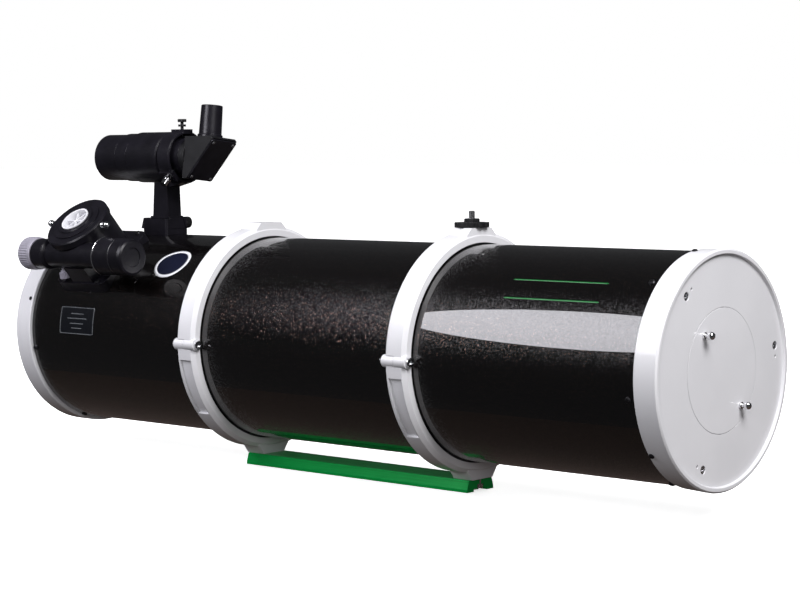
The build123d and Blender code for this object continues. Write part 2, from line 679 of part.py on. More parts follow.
# ---- finder -------------------------------------------------------------------------------
SHOE_FRONT_X = -341.0
SHOE_BACK_X = -299.0
SHOE_HALF_WIDTH = 17.5
SHOE_TOP_Z = 280.0
SLOT_FLOOR_Z = 268.0
SHOE_SCREW_X = -310.0
SHOE_SCREW_Z = 275.0
SCREW_ANGLES = (90, 0, 225)
RING_FRONT_X = BRACKET_RING_X - 12
RING_BACK_X = BRACKET_RING_X + 8
O_RING_X = BRACKET_RING_X - 7.5
BARREL_END_X = -303.0


def dovetail_slot(clearance):
    """Trapezoid of the finder's foot, wider at the bottom; a negative clearance makes the foot."""
    low = SLOT_FLOOR_Z - clearance + 0.2
    high = SHOE_TOP_Z + 1
    return [(-14.5 - clearance, low), (14.5 + clearance, low), (10.5 + clearance, high),
            (-10.5 - clearance, high)]


def finder_shoe():
    shoe = block((SHOE_FRONT_X, -SHOE_HALF_WIDTH, 250), (SHOE_BACK_X, SHOE_HALF_WIDTH, SHOE_TOP_Z))
    shoe = fillet(shoe.edges().filter_by(Axis.Z), 3)
    shoe -= ON_AXIS * rod(TUBE_R + 0.05, -400, -250)
    shoe -= prism(dovetail_slot(0.2), Plane.YZ, -400, -250)
    return shoe - Pos(SHOE_SCREW_X, 0, SHOE_SCREW_Z) * Rot(-90, 0, 0) * rod(2.0 + RUN, 5, 30)


def finder_shoe_screw():
    screw = rod(2.0, 13.6, 19) + rod(4.5, 17.9, 20) + knurled(7.0, 0.6, 20, 20, 29)
    return Pos(SHOE_SCREW_X, 0, SHOE_SCREW_Z) * Rot(-90, 0, 0) * screw


def finder_spot(angle, shape):
    """Put a piece drawn along Z round the finder's axis at the bracket ring."""
    return Pos(BRACKET_RING_X, 0, FINDER_Z) * Rot(angle - 90, 0, 0) * shape


STALK_HALF_WIDTH = 10.5


def finder_bracket():
    """Dovetail foot, square stalk and an arm that reaches back to the ring round the finder."""
    under_ring = FINDER_Z - BRACKET_BORE_R - 1.0
    foot = prism(dovetail_slot(-0.1), Plane.YZ, -347, -300)
    stalk = prism([(-330, 280.8), (-303, 280.8), (-305, FINDER_Z - 28), (-327, FINDER_Z - 28)], Plane.XZ,
                  -STALK_HALF_WIDTH, STALK_HALF_WIDTH)
    arm = prism([(-322, 318), (-304, 318), (RING_BACK_X, under_ring - 1), (RING_BACK_X, under_ring + 3),
                 (RING_FRONT_X, under_ring + 3), (-310, FINDER_Z - 31)], Plane.XZ, -8, 8)
    flange = block((-333, -11.5, 280.6), (-301, 11.5, 283.5))
    rim = BRACKET_RING_R - 1
    hoop = ON_FINDER * lathe([(BRACKET_BORE_R, RING_FRONT_X), (rim, RING_FRONT_X),
                              (BRACKET_RING_R, RING_FRONT_X + 1), (BRACKET_RING_R, RING_BACK_X - 1),
                              (rim, RING_BACK_X), (BRACKET_BORE_R, RING_BACK_X)])
    bracket = foot + stalk + flange + arm + hoop
    boss = block((-11.5, -7, BRACKET_BORE_R), (10.5, 7, 33.2))
    for angle in SCREW_ANGLES:
        bracket += finder_spot(angle, boss)
    bracket -= ON_FINDER * rod(BRACKET_BORE_R, -420, -200)
    bracket -= ON_FINDER * rod(FINDER_BARREL_R + 1.2, -420, RING_FRONT_X - 0.8)
    for angle in SCREW_ANGLES[:2]:
        bracket -= finder_spot(angle, rod(1.9 + RUN, 20, 40))
    return bracket - finder_spot(SCREW_ANGLES[2], rod(4.0 + RUN, 20, 50))


def finder_adjusting_screw(angle):
    screw = rod(1.9, FINDER_NECK_R + 0.8, 44) + rod(4.6, 36.5, 39) + knurled(5.2, 0.5, 16, 41.8, 45.4)
    return finder_spot(angle, screw)


def plunger_barrel():
    barrel = ring(4.0, 2.05, 28.5, 45) + rod(4.0, 42.5, 45)
    return finder_spot(SCREW_ANGLES[2], barrel + ring(4.9, 4.0, 35, 38))


def plunger_pin():
    return finder_spot(SCREW_ANGLES[2], rod(2.0, FINDER_NECK_R + 0.8, 38.6))


def finder_o_ring():
    return Pos(O_RING_X, 0, FINDER_Z) * Rot(0, 90, 0) * Torus(25.4, 2.1)


def finder_tube():
    outer = FINDER_BARREL_R
    neck = FINDER_NECK_R
    corners = [(outer - 3, -356.5), (outer - 0.8, -356.5), (outer, -355.7), (outer, BARREL_END_X - 1.5),
               (outer - 1.5, BARREL_END_X), (neck, BARREL_END_X + 1.5), (neck, -272), (neck - 1.8, -272),
               (neck - 1.8, -306), (outer - 3, -312)]
    return ON_FINDER * lathe(corners)


def finder_lock_ring():
    rim = LOCK_RING_R - 0.8
    grip = lathe([(26.4, -377.5), (rim, -377.5), (LOCK_RING_R, -376.7), (LOCK_RING_R, -358), (rim, -357.2),
                  (26.4, -357.2)])
    for place in around(36):
        grip -= place * Pos(LOCK_RING_R + 0.7, 0, 0) * Rot(0, 0, 45) * Box(1.4, 1.4, 60)
    return ON_FINDER * grip


def finder_dew_shield():
    front = FINDER_FRONT_X
    corners = [(25.2, front), (DEW_R - 1.1, front), (DEW_R, front + 1.2), (DEW_R, -378.6),
               (DEW_R - 0.8, -378), (26.3, -378), (26.3, -348), (24.2, -348), (24.2, -388), (25.2, -388)]
    return ON_FINDER * lathe(corners)


def finder_objective():
    front = ThreePointArc((0, -394.4), (12.5, -393.6), (25.1, -391.2))
    rest = Polyline((25.1, -391.2), (25.1, -388.1), (24.1, -388.1), (24.1, -385), (0, -385), (0, -394.4))
    return ON_FINDER * revolve(Plane.XZ * make_face(Curve() + [front, rest]), Axis.Z)


DIAGONAL_HALF_WIDTH = 20.0
DIAGONAL_FRONT_X = -265.0
DIAGONAL_LOW_Z = 327.0
DIAGONAL_HIGH_Z = 376.4
SLANT_FOOT_X = -258.0
DIAGONAL_ROLL = Pos(0, 0, FINDER_Z) * Rot(-6.5, 0, 0) * Pos(0, 0, -FINDER_Z)
TOP_CHAMFER = 3.0
SLANT_LEAN = 0.85
WALL = 2.5
COVER_PLATE = 1.8
COVER_SCREW_INSET = 4.0


def slant_x(z):
    """Where the slanted back of the diagonal is at a height."""
    return SLANT_FOOT_X + SLANT_LEAN * (z - DIAGONAL_LOW_Z)


def diagonal_outline(margin, back_shift):
    """Side outline of the diagonal, shrunk by a margin, with its slanted back moved along X."""
    front = DIAGONAL_FRONT_X + margin
    low = DIAGONAL_LOW_Z + margin
    high = DIAGONAL_HIGH_Z - margin
    tip = slant_x(high - TOP_CHAMFER) + back_shift
    return [(front, low), (slant_x(low) + back_shift, low), (tip, high - TOP_CHAMFER),
            (tip - TOP_CHAMFER, high), (front, high)]


def on_slant(lift):
    """Plane on the slanted back, X up the slope and Z outwards, raised by a lift."""
    middle_z = (DIAGONAL_LOW_Z + DIAGONAL_HIGH_Z - TOP_CHAMFER) / 2
    middle = (slant_x(middle_z), 0, middle_z)
    plane = Plane(origin=middle, x_dir=(SLANT_LEAN, 0, 1), z_dir=(1, 0, -SLANT_LEAN))
    return plane.offset(lift)


SLANT_LENGTH = (DIAGONAL_HIGH_Z - DIAGONAL_LOW_Z - TOP_CHAMFER) * sqrt(1 + SLANT_LEAN ** 2)
COVER_LENGTH = SLANT_LENGTH - 1.2
COVER_WIDTH = 2 * DIAGONAL_HALF_WIDTH - 1.0


def diagonal_housing():
    """Slanted box with a round neck towards the finder and a socket for the eyepiece."""
    half = DIAGONAL_HALF_WIDTH
    body = prism(diagonal_outline(0, 0), Plane.XZ, -half, half)
    body -= prism(diagonal_outline(WALL, 8), Plane.XZ, -half + WALL, half - WALL)
    neck = [(0, -282), (21.1, -282), (21.1, -271.9), (22.6, -271.9), (22.6, -264), (0, -264)]
    body += ON_FINDER * lathe(neck)
    body -= ON_FINDER * rod(14, -300, -255)
    return DIAGONAL_ROLL * (body - Pos(EYEPIECE_X, 0, 0) * rod(11.05, 352, 400))


def diagonal_cover():
    """Plate over the slanted back, held by a screw in each corner."""
    plate = extrude(RectangleRounded(COVER_LENGTH, COVER_WIDTH, 2.5), amount=COVER_PLATE)
    return DIAGONAL_ROLL * (on_slant(0.05) * plate)


def diagonal_screws():
    pieces = []
    reach_x = COVER_LENGTH / 2 - COVER_SCREW_INSET
    reach_y = COVER_WIDTH / 2 - COVER_SCREW_INSET
    for x, y in [(-reach_x, -reach_y), (-reach_x, reach_y), (reach_x, -reach_y), (reach_x, reach_y)]:
        pieces.append(DIAGONAL_ROLL * (on_slant(COVER_PLATE + 0.1) * Pos(x, y, 0) * dome_head(1.9, 1.1)))
    return Compound(children=pieces)


def finder_optics():
    """Roof prism in the diagonal and the lens at the top of the eyepiece."""
    glass = prism(diagonal_outline(WALL + 2.0, -2.0), Plane.XZ, -15, 15)
    glass -= Pos(EYEPIECE_X, 0, 0) * rod(12, 364, 380)
    lens = Pos(EYEPIECE_X, 0, 0) * rod(9.8, 407, 411)
    return Compound(children=[DIAGONAL_ROLL * glass, DIAGONAL_ROLL * lens])


def finder_eyepiece():
    wall = lathe([(9.9, 406), (9.9, 414.5), (12.0, 414.5), (12.6, 413.9), (13.4, 380.5), (14.8, 379.5),
                  (14.8, 376.6), (11.0, 376.6), (11.0, 366), (9.4, 366), (9.4, 406)])
    return DIAGONAL_ROLL * (Pos(EYEPIECE_X, 0, 0) * wall)


# ---- every node ---------------------------------------------------------------------------
def all_nodes():
    front = FRONT_RING_X
    rear = REAR_RING_X
    lower_felts = [at_ring(x, felt(190, 350)) for x in (front, rear)]
    nodes = {
        "dovetail_bar": dovetail_bar(),
        "ring_fasteners": ring_fasteners(),
        "front_ring_lower": at_ring(front, ring_half(upper=False)),
        "rear_ring_lower": at_ring(rear, ring_half(upper=False)),
        "lower_felt_liners": Compound(children=lower_felts),
        "front_ring_upper": at_ring(front, ring_half(upper=True)),
        "front_upper_felt": at_ring(front, felt(5, 170)),
        "rear_ring_upper": at_ring(rear, ring_half(upper=True)),
        "rear_upper_felt": at_ring(rear, felt(5, 170)),
        "front_clamp_screw": at_ring(front, ring_clamp_screw()),
        "rear_clamp_screw": at_ring(rear, ring_clamp_screw()),
        "camera_stud": at_ring(rear, camera_stud()),
        "camera_lock_wheel": at_ring(rear, camera_lock_wheel()),
        "main_tube": main_tube(),
        "front_end_ring": front_end_ring(),
        "rear_cell": rear_cell(),
        "tube_screws": tube_screws(),
        "rear_cover": rear_cover(),
        "rear_cover_screw_upper": rear_cover_screw(COVER_SCREW_ANGLES[0]),
        "rear_cover_screw_lower": rear_cover_screw(COVER_SCREW_ANGLES[1]),
        "corrector_cell": corrector_cell(),
        "corrector_lens": corrector_lens(),
        "corrector_retaining_ring": corrector_retaining_ring(),
        "secondary_holder": secondary_holder(),
        "secondary_mirror": secondary_mirror(),
        "primary_mirror": primary_mirror(),
        "mirror_cell": mirror_cell(),
        "focuser_base": focuser_base(),
        "focuser_body": focuser_body(),
        "drawtube_bearings": drawtube_bearings(),
        "focuser_lock_screw": focuser_lock_screw(),
        "drawtube": drawtube(),
        "eyepiece_holder": eyepiece_holder(),
        "holder_screw_right": holder_screw(0),
        "holder_screw_left": holder_screw(180),
        "eyepiece_adapter": eyepiece_adapter(),
        "focuser_dust_cap": focuser_dust_cap(),
        "coarse_shaft": coarse_shaft(),
        "coarse_knobs": coarse_knobs(),
        "fine_knob": fine_knob(),
        "finder_shoe": finder_shoe(),
        "finder_shoe_screw": finder_shoe_screw(),
        "finder_bracket": finder_bracket(),
        "finder_screw_top": finder_adjusting_screw(SCREW_ANGLES[0]),
        "finder_screw_side": finder_adjusting_screw(SCREW_ANGLES[1]),
        "plunger_barrel": plunger_barrel(),
        "plunger_pin": plunger_pin(),
        "finder_o_ring": finder_o_ring(),
        "finder_tube": finder_tube(),
        "finder_lock_ring": finder_lock_ring(),
        "finder_dew_shield": finder_dew_shield(),
        "finder_objective": finder_objective(),
        "diagonal_housing": diagonal_housing(),
        "diagonal_cover": diagonal_cover(),
        "diagonal_screws": diagonal_screws(),
        "finder_optics": finder_optics(),
        "finder_eyepiece": finder_eyepiece(),
    }
    for index, angle in enumerate(COLLIMATION_ANGLES):
        nodes[f"collimation_screw_{index + 1}"] = collimation_screw(angle)
    return nodes


def main():
    os.makedirs("parts", exist_ok=True)
    for name, shape in all_nodes().items():
        export_step(shape, f"parts/{name}.step")


main()
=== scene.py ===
"""Looks of the telescope: finishes, labels, trim, soft studio light and camera, round the frame.

Lengths are in millimetres until they reach Blender, which takes metres.  X runs along the tube,
with the sky end at -X, and Z is up.  Angles round the tube are degrees above its near side, -Y.
"""

import bpy
from math import cos, pi, radians, sin
from mathutils import Matrix, Vector


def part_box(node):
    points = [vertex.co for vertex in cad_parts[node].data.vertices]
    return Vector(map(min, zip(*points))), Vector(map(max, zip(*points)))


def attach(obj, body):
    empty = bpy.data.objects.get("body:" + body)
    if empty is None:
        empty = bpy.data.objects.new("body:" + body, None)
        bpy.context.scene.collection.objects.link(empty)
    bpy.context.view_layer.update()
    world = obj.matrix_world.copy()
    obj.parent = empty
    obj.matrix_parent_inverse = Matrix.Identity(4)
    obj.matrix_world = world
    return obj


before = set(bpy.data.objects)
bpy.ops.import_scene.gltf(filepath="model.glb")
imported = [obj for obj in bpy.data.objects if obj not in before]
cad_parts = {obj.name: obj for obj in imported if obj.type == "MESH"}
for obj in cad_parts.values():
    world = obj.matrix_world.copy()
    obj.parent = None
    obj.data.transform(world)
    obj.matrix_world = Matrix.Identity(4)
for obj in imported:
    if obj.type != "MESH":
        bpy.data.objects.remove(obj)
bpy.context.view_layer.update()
MM = 0.001

# ---- places taken from the frame -----------------------------------------------------------
tube_low, tube_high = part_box("main_tube")
TUBE_R = (tube_high.z - tube_low.z) / 2 / MM
AXIS_Z = (tube_high.z + tube_low.z) / 2 / MM


# ---- finishes ------------------------------------------------------------------------------
class Finish:
    """One procedural material, with short calls for the nodes that the finishes share."""

    def __init__(self, name, **sockets):
        self.material = bpy.data.materials.new(name)
        self.material.use_nodes = True
        self.nodes = self.material.node_tree.nodes
        self.shader = self.nodes["Principled BSDF"]
        for socket, value in sockets.items():
            self.shader.inputs[socket.replace("_", " ")].default_value = value
        self.place = self.nodes.new("ShaderNodeTexCoord").outputs["Object"]

    def link(self, output, target):
        self.material.node_tree.links.new(output, target)

    def stretched(self, scale):
        """Object coordinates, drawn out along an axis where the scale is small."""
        mapping = self.nodes.new("ShaderNodeMapping")
        mapping.inputs["Scale"].default_value = scale
        self.link(self.place, mapping.inputs["Vector"])
        return mapping.outputs["Vector"]

    def noise(self, size, detail=3.0, place=None):
        """Cloudy value from 0 to 1 whose blobs are about size millimetres."""
        node = self.nodes.new("ShaderNodeTexNoise")
        node.inputs["Scale"].default_value = 1 / (size * MM)
        node.inputs["Detail"].default_value = detail
        self.link(place or self.place, node.inputs["Vector"])
        return node.outputs["Fac"]

    def cells(self, size, place=None):
        """Random grains about size millimetres across: (distance, colour)."""
        node = self.nodes.new("ShaderNodeTexVoronoi")
        node.inputs["Scale"].default_value = 1 / (size * MM)
        self.link(place or self.place, node.inputs["Vector"])
        return node.outputs["Distance"], node.outputs["Color"]

    def ramp(self, value, stops):
        """Colours or greys spread over a value: stops are (position, colour)."""
        node = self.nodes.new("ShaderNodeValToRGB")
        elements = node.color_ramp.elements
        while len(elements) < len(stops):
            elements.new(0.5)
        for element, (position, colour) in zip(elements, stops):
            element.position = position
            element.color = (*colour, 1) if len(colour) == 3 else (colour[0],) * 3 + (1,)
        self.link(value, node.inputs["Fac"])
        return node.outputs["Color"]

    def colour(self, value, stops):
        self.link(self.ramp(value, stops), self.shader.inputs["Base Color"])

    def vary(self, socket, value, low, high):
        """Sweep a shader value between two numbers over a texture."""
        node = self.nodes.new("ShaderNodeMapRange")
        node.inputs["To Min"].default_value = low
        node.inputs["To Max"].default_value = high
        self.link(value, node.inputs["Value"])
        self.link(node.outputs["Result"], self.shader.inputs[socket])

    def bump(self, value, depth, strength=1.0, sockets=("Normal",), edge=0.0):
        """Relief of about depth millimetres from a value, over edges softened by a radius."""
        node = self.nodes.new("ShaderNodeBump")
        if edge:
            soft = self.nodes.new("ShaderNodeBevel")
            soft.samples = 6
            soft.inputs["Radius"].default_value = edge * MM
            self.link(soft.outputs["Normal"], node.inputs["Normal"])
        node.inputs["Strength"].default_value = strength
        node.inputs["Distance"].default_value = depth * MM
        self.link(value, node.inputs["Height"])
        for socket in sockets:
            self.link(node.outputs["Normal"], self.shader.inputs[socket])

    def tilt(self, value, amount):
        """Lean the surface a different way in each grain."""
        facing = self.nodes.new("ShaderNodeNewGeometry").outputs["Normal"]
        steps = [("SUBTRACT", (0.5, 0.5, 0.5)), ("MULTIPLY", (amount,) * 3), ("ADD", facing),
                 ("NORMALIZE", None)]
        result = value
        for operation, other in steps:
            node = self.nodes.new("ShaderNodeVectorMath")
            node.operation = operation
            self.link(result, node.inputs[0])
            if isinstance(other, tuple):
                node.inputs[1].default_value = other
            elif other is not None:
                self.link(other, node.inputs[1])
            result = node.outputs["Vector"]
        self.link(result, self.shader.inputs["Normal"])


def tube_paint():
    """Black lacquer under a clear coat, with sparse warm flakes that each lie their own way."""
    paint = Finish("tube_lacquer", Roughness=0.2, Coat_Weight=1.0, Coat_Roughness=0.02, Coat_IOR=1.6)
    tint = paint.cells(0.6)[1]
    paint.colour(tint, [(0.0, (0.0016, 0.0012, 0.0013)), (0.80, (0.003, 0.0022, 0.0022)),
                        (0.86, (0.05, 0.034, 0.028)), (1.0, (0.20, 0.135, 0.11))])
    paint.vary("Metallic", tint, 0.1, 1.0)
    paint.tilt(tint, 0.31)
    return paint.material


def white_paint():
    """Glossy white enamel on castings, with a little orange peel."""
    paint = Finish("white_enamel", Roughness=0.42, Coat_Weight=0.45, Coat_Roughness=0.1)
    paint.colour(paint.noise(60), [(0.35, (0.70, 0.70, 0.725)), (0.65, (0.73, 0.73, 0.755))])
    paint.vary("Roughness", paint.noise(9), 0.36, 0.5)
    paint.bump(paint.noise(2.6, 2.0), 0.02, 0.5, ("Normal", "Coat Normal"), edge=0.9)
    return paint.material


def black_anodised():
    """Satin black anodised aluminium, fine blasted."""
    metal = Finish("black_anodised_aluminium", Metallic=0.25, Roughness=0.3, Specular_IOR_Level=0.5)
    metal.colour(metal.noise(22), [(0.3, (0.006, 0.0055, 0.008)), (0.7, (0.012, 0.011, 0.016))])
    metal.vary("Roughness", metal.noise(5), 0.24, 0.38)
    metal.bump(metal.noise(0.5, 4.0), 0.03, 0.35, edge=0.35)
    return metal.material


def black_screw():
    """Blackened steel with worn, slightly uneven sheen."""
    metal = Finish("blackened_steel", Metallic=0.6, Roughness=0.3)
    metal.colour(metal.noise(1.5), [(0.3, (0.012, 0.012, 0.014)), (0.7, (0.035, 0.034, 0.038))])
    metal.vary("Roughness", metal.noise(0.8), 0.22, 0.42)
    metal.bump(metal.noise(0.3, 3.0), 0.01, 0.3)
    return metal.material


def black_plastic():
    """Moulded black plastic with a spark-eroded grain."""
    plastic = Finish("black_moulded_plastic", Roughness=0.4)
    plastic.colour(plastic.noise(14), [(0.3, (0.004, 0.004, 0.0048)), (0.7, (0.009, 0.009, 0.0105))])
    plastic.vary("Roughness", plastic.noise(3), 0.34, 0.5)
    plastic.bump(plastic.cells(0.7)[0], 0.04, 0.4, edge=0.5)
    return plastic.material


def green_anodised():
    """Green anodised extrusion with drawn lines along its length."""
    metal = Finish("green_anodised_aluminium", Metallic=0.25, Roughness=0.3, Specular_IOR_Level=0.35)
    lines = metal.noise(1.0, 4.0, metal.stretched((0.015, 1.6, 1.6)))
    metal.colour(lines, [(0.3, (0.0, 0.34, 0.055)), (0.7, (0.001, 0.46, 0.085))])
    metal.vary("Roughness", lines, 0.24, 0.4)
    metal.bump(lines, 0.012, 0.4, edge=0.4)
    return metal.material


def turned_steel(name, colour, low, high, metallic=1.0):
    """Bright metal with fine tool marks and soft patches."""
    metal = Finish(name, Metallic=metallic)
    metal.colour(metal.noise(6), [(0.3, tuple(c * 0.86 for c in colour)), (0.7, colour)])
    metal.vary("Roughness", metal.noise(1.2), low, high)
    metal.bump(metal.noise(0.35, 3.0), 0.01, 0.25)
    return metal.material


def mirror():
    coat = Finish("mirror_coating", Metallic=1.0, Roughness=0.02)
    coat.colour(coat.noise(80), [(0.3, (0.88, 0.89, 0.90)), (0.7, (0.92, 0.925, 0.93))])
    coat.vary("Roughness", coat.noise(30), 0.01, 0.03)
    return coat.material


def coated_glass(name, tint):
    """Clear glass with a thin coloured coating that gathers dust unevenly."""
    glass = Finish(name, Transmission_Weight=1.0, Roughness=0.02, IOR=1.5, Coat_Weight=0.5,
                   Coat_Tint=(*tint, 1))
    glass.colour(glass.noise(40), [(0.3, tuple(0.5 + 0.5 * c for c in tint)), (0.7, (0.97, 0.98, 0.98))])
    glass.vary("Roughness", glass.noise(12), 0.0, 0.035)
    return glass.material


def felt():
    """Short matted fibres."""
    cloth = Finish("black_felt", Roughness=0.95, Sheen_Weight=0.35, Sheen_Roughness=0.5)
    fibres = cloth.noise(0.5, 5.0)
    cloth.colour(fibres, [(0.3, (0.008, 0.008, 0.009)), (0.7, (0.03, 0.03, 0.032))])
    cloth.bump(fibres, 0.25, 0.8)
    return cloth.material


def rubber():
    gum = Finish("black_rubber", Roughness=0.7)
    gum.colour(gum.noise(10), [(0.3, (0.011, 0.011, 0.012)), (0.7, (0.021, 0.021, 0.022))])
    gum.vary("Roughness", gum.noise(2), 0.6, 0.8)
    gum.bump(gum.noise(0.6), 0.04, 0.4)
    return gum.material


def cap_plastic():
    """Milky white plastic that lets some light in."""
    plastic = Finish("milky_plastic", Roughness=0.35, Sheen_Weight=0.1)
    plastic.colour(plastic.noise(9), [(0.3, (0.60, 0.60, 0.63)), (0.7, (0.72, 0.72, 0.75))])
    plastic.vary("Roughness", plastic.noise(4), 0.28, 0.42)
    plastic.bump(plastic.noise(1.5), 0.02, 0.3)
    return plastic.material


def printed(name, dark, light, rough):
    """Printed label film with faint ink mottle."""
    film = Finish(name, Roughness=rough, Coat_Weight=0.4, Coat_Roughness=0.12)
    film.colour(film.noise(1.5), [(0.35, dark), (0.65, light)])
    film.vary("Roughness", film.noise(4), rough * 0.8, rough * 1.2)
    return film.material


FINISHES = {
    "tube_paint": tube_paint(),
    "white_paint": white_paint(),
    "black_anodised": black_anodised(),
    "black_plastic": black_plastic(),
    "black_screw": black_screw(),
    "green_anodised": green_anodised(),
    "screw_steel": turned_steel("screw_steel_turned", (0.74, 0.74, 0.76), 0.16, 0.34),
    "stud_steel": turned_steel("stud_steel_turned", (0.70, 0.70, 0.71), 0.2, 0.36),
    "chrome": turned_steel("bright_plating", (0.86, 0.86, 0.88), 0.05, 0.14),
    "silver_knob": turned_steel("clear_anodised_knob", (0.50, 0.48, 0.56), 0.3, 0.42, 0.45),
    "cell_aluminium": turned_steel("machined_cell_metal", (0.52, 0.52, 0.53), 0.35, 0.5),
    "mirror": mirror(),
    "corrector_glass": coated_glass("corrector_coating", (0.45, 0.75, 0.62)),
    "lens_glass": coated_glass("lens_coating", (0.5, 0.45, 0.85)),
    "felt": felt(),
    "rubber": rubber(),
    "cap_plastic": cap_plastic(),
}


def finish_nodes():
    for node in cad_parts.values():
        for place in node.material_slots:
            place.material = FINISHES[place.material.name.split(".")[0]]


finish_nodes()


# ---- labels on the tube --------------------------------------------------------------------
LABEL_LIFT = 0.14
INK_LIFT = 0.08
INK_ROOT = LABEL_LIFT - 0.02
FILM_ROOT = -0.1
LOOP_POINTS = 96
CLOSING_SHARES = (0.97, 0.8, 0.6, 0.4, 0.2)
PLATE_X = -352.3
PLATE_ANGLE = 8.0
PLATE_HALF_X = 30.0
PLATE_HALF_Y = 16.5
PLATE_RULES = ((11.0, 8.0), (17.0, 2.5), (12.0, -3.5), (9.0, -9.0))
BADGE_X = -226.7
BADGE_ANGLE = 48.6
BADGE_TILT = 14.0
BADGE_OUTER = (25.0, 21.5)
BADGE_INNER = (21.0, 17.8)
STRIPE_PLACES = ((326.5, 48.0), (325.8, 36.4))
STRIPE_HALF_LENGTH = 57.5


def on_tube(x, angle, along, up, lift):
    """Point on the tube's skin: along X and up round the tube from a centre, in metres."""
    turn = radians(angle) + up / TUBE_R
    reach = TUBE_R + lift
    return Vector((x + along, -reach * cos(turn), AXIS_Z + reach * sin(turn))) * MM


def oval_loop(half_x, half_y):
    """Closed loop of points round an ellipse."""
    turns = [2 * pi * index / LOOP_POINTS for index in range(LOOP_POINTS)]
    return [(half_x * cos(turn), half_y * sin(turn)) for turn in turns]


def rounded_loop(half_x, half_y, corner):
    """Closed loop of evenly spaced points round a rectangle with round corners."""
    flat_x, flat_y = half_x - corner, half_y - corner
    arc = pi / 2 * corner
    points = []
    for index in range(LOOP_POINTS):
        walked = 4 * (flat_x + flat_y + arc) * index / LOOP_POINTS
        for quarter in range(4):
            sign_x = (1, -1, -1, 1)[quarter]
            sign_y = (1, 1, -1, -1)[quarter]
            side = 2 * (flat_x if quarter % 2 == 0 else flat_y)
            if walked < arc:
                turn = pi / 2 * quarter + walked / corner
                points.append((sign_x * flat_x + corner * cos(turn),
                               sign_y * flat_y + corner * sin(turn)))
                break
            walked -= arc
            if walked < side:
                if quarter % 2 == 0:
                    points.append((sign_x * (flat_x - walked), sign_y * half_y))
                else:
                    points.append((sign_x * half_x, sign_y * (flat_y - walked)))
                break
            walked -= side
    return points


def add_piece(name, vertices, faces, material, body):
    """New mesh object that rides on a body and takes the given finish."""
    mesh = bpy.data.meshes.new(name)
    mesh.from_pydata(vertices, [], faces)
    mesh.validate()
    mesh.materials.append(material)
    piece = bpy.data.objects.new(name, mesh)
    bpy.context.scene.collection.objects.link(piece)
    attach(piece, body)
    return piece


def label(name, x, angle, loops, filled, material, slot, tilt=0.0):
    """Film on the tube, from closed loops of (points, lift); a filled one has its middle closed."""
    lean = Matrix.Rotation(radians(tilt), 2)
    vertices = []
    for points, lift in loops:
        for point in points:
            along, up = lean @ Vector(point)
            vertices.append(on_tube(x, angle, along, up, lift))
    faces = []
    for ring in range(len(loops) - 1):
        for index in range(LOOP_POINTS):
            after = (index + 1) % LOOP_POINTS
            low, high = ring * LOOP_POINTS, (ring + 1) * LOOP_POINTS
            faces.append((low + index, low + after, high + after, high + index))
    if filled:
        vertices.append(on_tube(x, angle, 0, 0, loops[-1][1]))
        start = (len(loops) - 1) * LOOP_POINTS
        for index in range(LOOP_POINTS):
            faces.append((start + index, start + (index + 1) % LOOP_POINTS, len(vertices) - 1))
    piece = add_piece(name, vertices, faces, material, "optical_tube")
    for polygon in piece.data.polygons:
        polygon.use_smooth = True


def scaled(points, share):
    return [(share * a, share * b) for a, b in points]


def filled_loops(points, base, top):
    """Loops of a film with a thin edge, closing in on its middle."""
    loops = [(points, base), (points, top)]
    loops += [(scaled(points, share), top) for share in CLOSING_SHARES]
    return loops


def line_loops(outer, inner, base, top):
    """Loops of a thin frame between two outlines."""
    return [(outer, base), (outer, top), (inner, top), (inner, base)]


def info_plate():
    """Blank data plate: dark film, a thin frame and plain rules where the print would be."""
    dark = printed("plate_film", (0.002, 0.0025, 0.004), (0.004, 0.005, 0.008), 0.3)
    line = printed("plate_line", (0.10, 0.11, 0.12), (0.15, 0.16, 0.17), 0.4)
    place = (PLATE_X, PLATE_ANGLE)
    top = LABEL_LIFT + INK_LIFT
    film = filled_loops(rounded_loop(PLATE_HALF_X, PLATE_HALF_Y, 1.5), FILM_ROOT, LABEL_LIFT)
    label("info_plate", *place, film, True, dark, "black_plastic")
    frame_loops = line_loops(rounded_loop(PLATE_HALF_X - 0.6, PLATE_HALF_Y - 0.6, 1.2),
                             rounded_loop(PLATE_HALF_X - 1.5, PLATE_HALF_Y - 1.5, 0.6), INK_ROOT, top)
    label("info_plate_frame", *place, frame_loops, False, line, "screw_steel")
    for index, (half_length, rise) in enumerate(PLATE_RULES):
        rule = [(along, up + rise) for along, up in rounded_loop(half_length, 0.55, 0.4)]
        spine = [(along * 0.98, rise) for along, _ in rule]
        loops = [(rule, INK_ROOT), (rule, top), (spine, top)]
        label(f"info_plate_rule_{index + 1}", *place, loops, False, line, "screw_steel")


def oval_badge():
    """Plain oval badge: a white band round a dark blue field, with no print."""
    white = printed("badge_white", (0.68, 0.69, 0.72), (0.76, 0.77, 0.80), 0.3)
    blue = printed("badge_blue", (0.003, 0.004, 0.014), (0.005, 0.007, 0.022), 0.3)
    place = (BADGE_X, BADGE_ANGLE)
    outer = oval_loop(*BADGE_OUTER)
    inner = oval_loop(*BADGE_INNER)
    field = filled_loops(outer, FILM_ROOT, LABEL_LIFT)
    label("badge_field", *place, field, True, blue, "black_plastic", BADGE_TILT)
    band = line_loops(outer, inner, INK_ROOT, LABEL_LIFT + INK_LIFT)
    label("badge_band", *place, band, False, white, "white_paint", BADGE_TILT)


